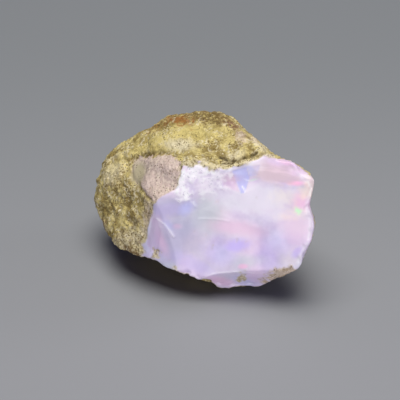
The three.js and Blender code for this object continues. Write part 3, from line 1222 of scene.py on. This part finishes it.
# The colours in the opal, with painted shade on the face's left and lower parts and a painted lift of
# light in the flake's hollow. Each row: mask, across, rise, half length, half width, then turn,
# strength, softness of the edge and its wobble
FIRE = (
    Spot(Mask.PALE_AND_PAINTED_LIGHT, 6.6, 0.2, 4.6, 2.0, -4, 0.85, 0.45),
    Spot(Mask.PALE_AND_PAINTED_LIGHT, 9.5, -1.6, 2.6, 1.4, -10, 0.7, 0.7),
    Spot(Mask.PALE_AND_PAINTED_LIGHT, -0.2, -6.6, 1.6, 1.4, -30, 0.3, 0.7),
    Spot(Mask.PALE_AND_PAINTED_LIGHT, 11.3, -3.4, 1.9, 2.6, 0, 0.7, 0.6),
    Spot(Mask.PALE_AND_PAINTED_LIGHT, 10.9, 0.6, 1.2, 1.4, 0, 0.6, 0.7),
    # Painted light: lifts the shade in the flake scar's hollow
    Spot(Mask.PALE_AND_PAINTED_LIGHT, 5.4, 3.9, 1.9, 0.7, 8, 0.7, 0.6),
    Spot(Mask.MINT, 0.3, -1.6, 1.7, 2.5, 0, 0.75, 0.6),
    Spot(Mask.MINT, 5.6, -7.6, 2.0, 0.6, 5, 0.35, 0.7),
    # Painted shade on the face's left and lower parts
    Spot(Mask.PAINTED_SHADE, -4.0, -0.9, 3.0, 1.4, 8, 0.8, 0.6),
    Spot(Mask.PAINTED_SHADE, -3.4, -4.6, 2.8, 2.6, -40, 0.6, 0.7),
    Spot(Mask.PAINTED_SHADE, 0.6, -8.6, 2.6, 0.9, -15, 0.35, 0.7),
    Spot(Mask.VIOLET, -4.4, -1.2, 1.8, 0.8, 8, 0.3, 0.6),
    Spot(Mask.VIOLET, -1.4, -8.0, 2.2, 1.0, -25, 0.45, 0.7),
    Spot(Mask.VIOLET, 2.0, -6.6, 2.6, 1.6, 0, 0.25, 0.7),
    Spot(Mask.VIOLET, 4.0, -5.7, 1.5, 0.8, 10, 0.9, 0.7),
    Spot(Mask.VIOLET, 9.6, -5.6, 2.6, 1.4, 10, 0.35, 0.7),
    Spot(Mask.VIOLET, 11.6, -6.5, 0.9, 0.5, 50, 0.7, 0.6),
    Spot(Mask.BLUE, -2.2, -1.0, 1.0, 0.7, 40, 0.7, 0.7),
    Spot(Mask.BLUE, -4.6, -3.0, 0.9, 0.5, -50, 0.4, 0.6),
    Spot(Mask.PINK, 3.2, 2.6, 0.9, 0.7, 0, 0.25, 0.6),
    Spot(Mask.PINK, 9.9, 3.6, 2.7, 1.3, -10, 0.2, 0.5),
    Spot(Mask.SHELL, 8.9, 3.3, 2.6, 1.1, -8, 0.5, 0.6),
    Spot(Mask.PINK, 11.4, 2.15, 1.1, 0.32, -5, 1.0, 0.7),
    Spot(Mask.PINK, 10.2, 4.7, 1.1, 0.3, -20, 0.5, 0.7),
    Spot(Mask.STREAK, 9.6, 3.2, 3.2, 1.4, -10, 0.7, 0.5),
    Spot(Mask.STREAK, 3.0, 2.4, 1.6, 1.0, 0, 0.4, 0.6),
    Spot(Mask.PINK, 12.1, -0.2, 1.0, 1.2, 0, 0.7, 0.8),
    Spot(Mask.PINK, 4.0, -3.5, 3.2, 0.9, -8, 0.42, 0.7),
    Spot(Mask.PALE_AND_PAINTED_LIGHT, 3.6, -3.6, 3.0, 1.2, -8, 0.6, 0.7),
    Spot(Mask.PINK, 11.6, -3.6, 1.8, 2.2, 0, 0.35, 0.7),
    Spot(Mask.PINK, -5.3, -5.2, 0.5, 1.7, 20, 0.35, 0.8),
    Spot(Mask.PINK, -3.3, -3.3, 0.5, 0.3, 0, 0.3, 0.7),
    Spot(Mask.PINK, 4.9, -8.3, 0.55, 0.3, 0, 0.7, 0.5),
    Spot(Mask.YELLOW, 10.2, 0.5, 1.5, 1.0, 0, 0.3, 0.95, 0.4),
    Spot(Mask.YELLOW, 12.6, 0.9, 0.7, 0.8, 0, 0.55, 0.9, 0.3),
    Spot(Mask.YELLOW, 10.7, -2.1, 1.4, 0.4, 0, 0.3, 0.95, 0.4),
    Spot(Mask.YELLOW, 11.6, -1.5, 0.9, 0.6, -20, 0.4, 0.9, 0.4),
    Spot(Mask.GREEN, 11.8, -1.4, 0.45, 0.32, -25, 0.7, 0.95, 0.8),
    Spot(Mask.GREEN, 6.1, 2.5, 0.6, 0.12, 15, 0.25, 0.6),
    Spot(Mask.PINK, 2.0, -10.2, 1.7, 0.6, -10, 0.45, 0.6),
    Spot(Mask.LILAC, 6.8, -9.8, 1.2, 0.5, 0, 0.45, 0.5),
    Spot(Mask.SHELL, 13.4, 1.6, 0.8, 1.6, 12, 0.75, 0.6),
    Spot(Mask.BRUISE, -0.9, 3.7, 1.9, 1.3, 0, 1.0, 0.5, 0.7),
    Spot(Mask.BRUISE, -2.6, 1.2, 0.9, 1.5, 20, 1.0, 0.6, 0.8),
    Spot(Mask.BRUISE, 0.2, 2.0, 1.6, 1.1, 30, 0.55, 0.7, 0.8),
    Spot(Mask.BRUISE, 1.7, 3.0, 1.4, 0.8, -10, 0.7, 0.7, 0.8),
    Spot(Mask.BRUISE, 2.4, 1.5, 0.7, 0.5, 0, 0.55, 0.7, 0.8),
)
# The smooth mauve knob of the rind, and the chips and flakes with straight edges
KNOB = (
    (-9.0, 3.4), (-7.9, 1.6), (-7.3, 0.4), (-5.8, -0.3), (-3.6, 0.9), (-3.0, 2.9), (-2.9, 4.7),
    (-4.0, 5.5), (-5.3, 5.8), (-7.3, 5.4), (-9.0, 4.95),
)
FACETS = (
    Facet(((4.6, 0.8), (5.1, 0.9), (5.7, 2.8), (5.3, 4.2), (3.45, 3.6)), Mask.BLUE, 0.75, 0.05),
    Facet(((5.75, 2.85), (6.8, 3.15), (7.0, 4.4), (5.3, 4.25)), Mask.BLUE, 0.65, 0.02),
    Facet(((2.5, 1.6), (4.5, 0.9), (3.4, 3.5), (1.9, 3.3)), Mask.PINK, 0.22, 0.05),
    Facet(KNOB, Mask.MAUVE, 0.95, 0.0, 0.4),
    Facet(
        ((-7.2, -5.6), (-5.9, -7.2), (-5.4, -4.0), (-5.9, -2.3), (-6.5, -2.3)),
        Mask.LILAC, 0.55, 0.04,
    ),
)
# The rind's stains, and the islands of rind on the break, in rows like those of the opal
STAINS = (
    Spot(Mask.GEL, -8.2, 3.35, 0.95, 1.5, -5, 1.0, 0.5),
    Spot(Mask.CREAM, -3.0, 6.9, 2.0, 0.7, 0, 0.85, 0.6),
    Spot(Mask.BROWN, 0.7, 5.9, 1.6, 0.9, 0, 0.55, 0.8, 1.2),
    Spot(Mask.BROWN, 6.0, 5.9, 1.2, 0.5, -10, 0.5, 0.8, 1.2),
    Spot(Mask.CREAM, -11.3, 3.4, 1.4, 1.1, 40, 0.5, 0.6),
    Spot(Mask.CREAM, 4.0, 5.6, 1.2, 0.5, 10, 0.5, 0.4),
    Spot(Mask.SULPHUR, -1.1, 8.4, 3.4, 0.9, -3, 0.8, 0.6),
    Spot(Mask.SULPHUR, -5.0, 7.7, 2.6, 0.9, 15, 0.7, 0.6),
    Spot(Mask.SULPHUR, -7.4, 6.5, 2.0, 0.6, 20, 0.6, 0.6),
    Spot(Mask.MAUVE, -7.0, -2.2, 0.6, 2.2, -8, 0.4, 0.7, 0.4),
    Spot(Mask.ORANGE, -2.9, 9.95, 1.5, 0.55, -8, 1.0, 0.7, 1.1),
    Spot(Mask.ORANGE, -5.0, 9.5, 1.5, 0.4, 25, 0.4, 0.8, 1.3),
    Spot(Mask.RUST, -4.6, 9.9, 0.9, 0.4, 20, 0.6, 0.7, 0.8),
    Spot(Mask.RUST, -1.6, 10.5, 0.9, 0.4, 0, 0.8, 0.7, 0.8),
    Spot(Mask.RUST, 2.7, 10.1, 1.5, 0.5, -20, 1.0, 0.6, 0.9),
    Spot(Mask.BROWN, 0.0, 10.6, 4.4, 0.9, 0, 1.0, 0.6, 0.8),
    Spot(Mask.RUST, 0.6, 10.3, 2.6, 0.5, 0, 0.55, 0.7, 1.4),
    Spot(Mask.BROWN, -4.4, 9.9, 1.4, 0.5, 25, 0.8, 0.6, 0.8),
    Spot(Mask.BROWN, 1.6, 9.5, 1.3, 0.9, 10, 0.45, 0.7, 0.9),
    Spot(Mask.RUST, 3.7, 9.3, 0.6, 1.0, 30, 0.8, 0.5, 0.6),
    Spot(Mask.MAUVE, 4.6, 8.0, 0.6, 0.9, 30, 0.5, 0.6, 0.6),
    Spot(Mask.RUST, -5.6, 5.7, 1.6, 0.22, 8, 0.3, 0.6, 0.6),
    Spot(Mask.RUST, 0.3, 10.9, 1.3, 0.3, 0, 0.5, 0.5),
    Spot(Mask.RUST, -12.6, -2.8, 0.35, 0.6, 0, 0.6, 0.5),
    Spot(Mask.BROWN, -10.7, 1.2, 1.1, 0.7, -20, 0.85, 0.6, 0.9),
    Spot(Mask.BROWN, -9.6, 0.3, 0.6, 0.9, -20, 0.8, 0.6, 0.9),
    Spot(Mask.BROWN, -11.7, -1.1, 0.8, 0.7, 0, 0.85, 0.6, 0.9),
    Spot(Mask.BROWN, -8.8, -2.6, 0.6, 1.0, 0, 0.8, 0.6, 0.9),
    Spot(Mask.BROWN, -10.5, -4.0, 0.9, 0.5, 0, 0.6, 0.6, 0.9),
    Spot(Mask.RIND, -8.9, -6.1, 1.6, 1.0, -20, 1.0, 0.2, 0.2),
    Spot(Mask.RIND, -10.2, -5.2, 1.2, 0.8, -40, 1.0, 0.2, 0.2),
    Spot(Mask.RIND, 4.0, 4.55, 1.6, 0.35, 8, 1.0, 0.3, 0.3),
    Spot(Mask.RIND, -6.0, -6.9, 0.5, 0.4, -40, 0.9, 0.5, 1.0),
    Spot(Mask.RIND, -3.7, -8.3, 0.3, 0.45, 30, 0.8, 0.6, 1.0),
    Spot(Mask.RIND, 4.6, -9.7, 0.5, 0.5, 45, 0.9, 0.5, 1.0),
    Spot(Mask.RIND, 10.0, -9.1, 2.4, 0.7, 17, 1.0, 0.4, 0.6),
    Spot(Mask.MAUVE, 9.6, -9.3, 2.4, 0.8, 17, 0.7, 0.5, 0.6),
    Spot(Mask.BROWN, 10.9, -8.4, 1.4, 0.25, 17, 0.6, 0.6, 0.8),
    Spot(Mask.BROWN, 4.6, -9.7, 0.5, 0.5, 45, 0.6, 0.5, 1.0),
    Spot(Mask.BROWN, -9.3, -5.7, 2.4, 0.8, -28, 0.8, 0.7, 0.8),
    Spot(Mask.RUST, -9.0, -6.3, 1.6, 0.3, -28, 0.7, 0.6, 0.8),
    Spot(Mask.CREAM, 7.2, 6.6, 1.5, 0.5, -38, 0.6, 0.6, 0.6),
    Spot(Mask.MAUVE, 6.4, 7.4, 0.9, 0.4, -45, 0.4, 0.6, 0.6),
    Spot(Mask.RIND, 8.5, 5.6, 1.1, 0.35, -5, 0.9, 0.3, 0.3),
    Spot(Mask.RIND, 0.9, 4.2, 1.0, 0.35, -15, 1.0, 0.4, 0.8),
    Spot(Mask.RIND, -1.4, 4.8, 1.5, 0.55, 0, 1.0, 0.35, 0.9),
)
# The worn rims of the break, then every groove and rib, the white scratches and painted highlights,
# and painted shade in some grooves. Each row: places, width, height, mask, then strength and how far
# it is worn away
RIGHT_RIM = (
    (9.8, 4.95), (11.2, 3.9), (12.2, 2.9), (13.0, 2.3), (13.4, 1.4), (13.1, 0.2), (12.8, -0.5),
    (12.8, -1.5), (13.2, -2.5), (13.2, -4.0), (12.9, -5.3), (12.0, -6.6), (11.8, -7.8),
)
LIP_RIM = ((-2.2, -9.2), (-0.9, -9.8), (1.4, -10.4), (2.6, -10.8), (4.5, -10.6), (6.0, -10.6))
LINES = (
    # Painted shade in the groove along the rind's edge above the face
    Line(((0.4, 4.8), (2.0, 4.5), (3.4, 4.6), (4.6, 4.9)), 0.14, -0.2, Mask.DARK, 0.7, 0.6),
    # Painted shade: brown under the knob's upper ledge
    Line(((-9.0, 5.1), (-7.0, 5.6), (-5.1, 5.9), (-3.6, 5.5)), 0.22, -0.14, Mask.BROWN, 0.5, 0.5),
    Line(
        ((-9.1, 4.0), (-9.0, 2.7), (-8.2, 1.9), (-7.6, 1.0), (-6.7, 0.0)),
        0.28, -0.26, Mask.BROWN, 0.6, 0.3,
    ),
    Line(((-10.6, 2.2), (-9.6, 1.2), (-9.3, 0.0), (-9.6, -0.8)), 0.32, -0.26, Mask.BROWN, 0.6, 0.4),
    Line(((-12.4, 0.4), (-11.6, -0.6), (-11.4, -1.6)), 0.3, -0.22, Mask.BROWN, 0.6, 0.4),
    Line(((-9.7, -2.2), (-8.8, -3.0), (-8.6, -4.2)), 0.28, -0.2, Mask.BROWN, 0.5, 0.4),
    Line(((-12.2, 4.6), (-11.0, 5.5), (-9.6, 6.0)), 0.35, 0.18, Mask.CREAM, 0.4, 0.5),
    Line(((-11.4, 2.0), (-10.5, 3.2), (-10.2, 4.2)), 0.45, 0.2, Mask.CREAM, 0.4, 0.4),
    Line(((-9.4, 5.5), (-7.4, 6.1), (-5.0, 6.5), (-3.2, 6.2)), 0.4, 0.18, Mask.SULPHUR, 0.4, 0.4),
    # Painted highlights along the left bevel's edge, a ridge of the face and the flake's tip, then two
    # white scratches by the bruise, then a painted highlight above the lip
    Line(((-5.9, -2.35), (-4.95, -3.0), (-4.2, -4.0), (-3.8, -4.6)), 0.10, 0.06, Mask.SCRATCH_AND_HIGHLIGHT, 0.5),
    Line(((-0.7, -2.3), (1.2, -2.32), (3.0, -2.6)), 0.10, 0.03, Mask.SCRATCH_AND_HIGHLIGHT, 0.2),
    Line(((4.75, 1.7), (5.0, 1.3), (5.1, 1.0)), 0.09, 0.05, Mask.SCRATCH_AND_HIGHLIGHT, 0.7),
    Line(((1.9, 1.8), (2.4, 1.3)), 0.08, 0.04, Mask.SCRATCH_AND_HIGHLIGHT, 0.5),
    Line(((5.0, 2.6), (5.6, 2.4)), 0.07, 0.04, Mask.SCRATCH_AND_HIGHLIGHT, 0.4),
    Line(((-0.6, -9.9), (1.2, -9.15), (4.0, -8.95), (6.2, -9.1)), 0.09, 0.03, Mask.SCRATCH_AND_HIGHLIGHT, 0.4),
    Line(RIGHT_RIM, 1.3, 0.0, Mask.BARE),
    # A painted highlight along the right rim
    Line(RIGHT_RIM, 0.2, 0.0, Mask.SCRATCH_AND_HIGHLIGHT, 0.35, 0.7),
    Line(RIGHT_RIM, 0.4, -0.12, None, 1.0, 1.0),
    Line(LIP_RIM, 0.35, -0.25, None, 1.0, 1.0),
    # A painted highlight along the lip's rim
    Line(LIP_RIM, 0.18, 0.0, Mask.SCRATCH_AND_HIGHLIGHT, 0.3, 0.7),
    # Painted shade in the groove under the lip
    Line(((-1.4, -9.75), (-0.4, -10.0), (0.6, -10.1)), 0.16, -0.12, Mask.DARK, 0.3, 0.4),
    Line(((2.7, 5.9), (4.0, 5.75), (5.2, 6.0)), 0.55, 0.22),
    # Painted shade in the crack under the rind's lump
    Line(
        ((1.9, 5.3), (2.9, 4.95), (4.2, 5.0), (5.5, 5.4), (6.6, 5.9)),
        0.17, -0.26, Mask.DARK, 0.85, 0.7,
    ),
)
# A soft light overhead, a low fill in front and a weak one at the right
LAMPS = (
    Lamp("overhead", (-5.0, 3.0, 337.0), (250.0, 250.0), 1.58, (1.0, 0.98, 0.915)),
    Lamp("front_fill", (10.0, -329.0, 4.0), (280.0, 8.0), 0.65, (0.95, 0.93, 1.0)),
    Lamp("side_glow", (305.0, 45.0, 80.0), (90.0, 90.0), 0.20, (0.98, 0.96, 1.0)),
)


def main() -> None:
    """Builds the stone, the floor, the lights and the camera in order, and reports them."""
    logging.basicConfig(level=logging.INFO, format="%(name)s: %(message)s")
    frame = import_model()
    sight = Sight()
    stone = Stone(sight, FRONT, BACK, FIRE + STAINS, LINES, FACETS)
    piece = stone.start(frame["nodes"]["rough_opal"])
    stone.read_masks(piece)
    stone.press(piece)
    stone.finish(piece, StoneFinish())
    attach(piece, "root")
    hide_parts("rough_opal")
    LOG.info("stone: %d points, %d faces", len(piece.data.vertices), len(piece.data.polygons))
    studio = Studio(sight, LAMPS)
    studio.floor()
    studio.lights()
    studio.camera()
    LOG.info("studio: floor, %d lights, sky and camera", len(LAMPS))


if __name__ == "__main__":
    main()
